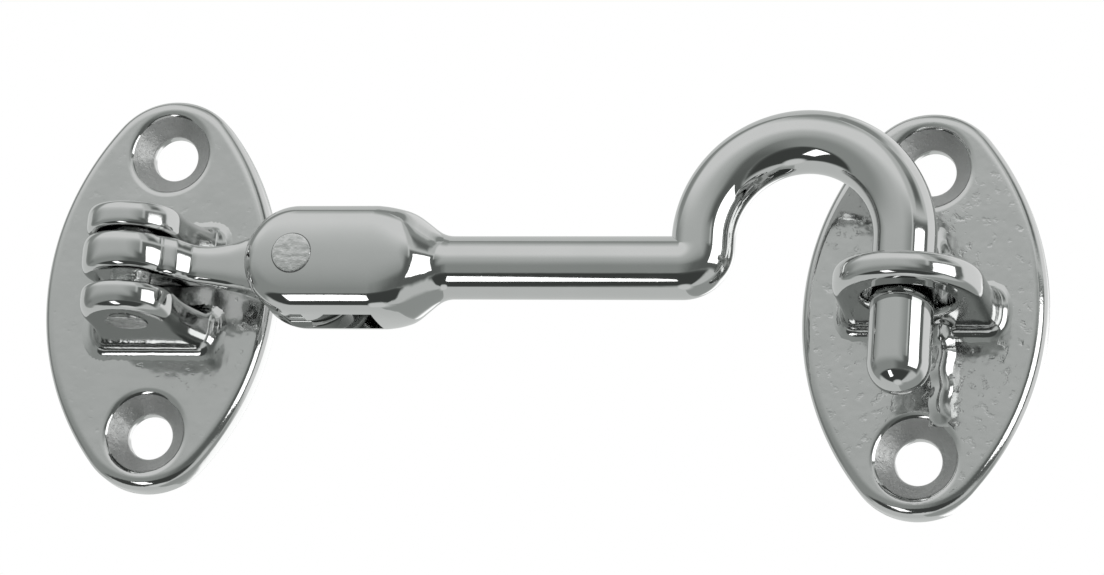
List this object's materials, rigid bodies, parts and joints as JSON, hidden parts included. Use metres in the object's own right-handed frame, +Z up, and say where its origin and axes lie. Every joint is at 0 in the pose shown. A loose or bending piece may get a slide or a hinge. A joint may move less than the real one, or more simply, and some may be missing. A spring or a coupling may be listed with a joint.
{
  "type": "hook latch",
  "caption": "Chrome cabin hook latch: a hooked arm swivels and lifts on an oval hinge plate and drops into the eye of an oval keeper plate.",
  "frame": {"origin": "centre of the hinge plate's back face", "axes": "+X from the hinge plate to the keeper plate, +Y into the wall, +Z up along the plates"},
  "size_m": [0.1026, 0.0188, 0.0428],
  "materials": {
    "cast_plate": "plated casting, faintly pitted face with a polished rim",
    "arm": "smooth polished plating",
    "link": "smooth plated casting",
    "peened_pin": "hammered plated end"
  },
  "bodies": {
    "hinge": {"hinge_plate": "cast_plate", "hinge_pin": "peened_pin"},
    "link": {"swivel_link": "link"},
    "hook": {"hook_arm": "arm", "fork_rivet": "peened_pin"},
    "keeper": {"keeper_plate": "cast_plate"}
  },
  "joints": [
    {"name": "link_swing", "type": "hinge", "parent": "hinge", "child": "link", "pos_m": [0, -0.0115, 0], "axis": [0, 0, -1], "range_deg": [0, 180]},
    {"name": "hook_lift", "type": "hinge", "parent": "link", "child": "hook", "pos_m": [0.0181, -0.0115, 0], "axis": [0, -1, 0], "range_deg": [-7, 130]},
    {"name": "keeper_release", "type": "slide", "parent": "link", "child": "keeper", "axis": [0, 0, -1], "range_m": [0, 0.03]}
  ]
}
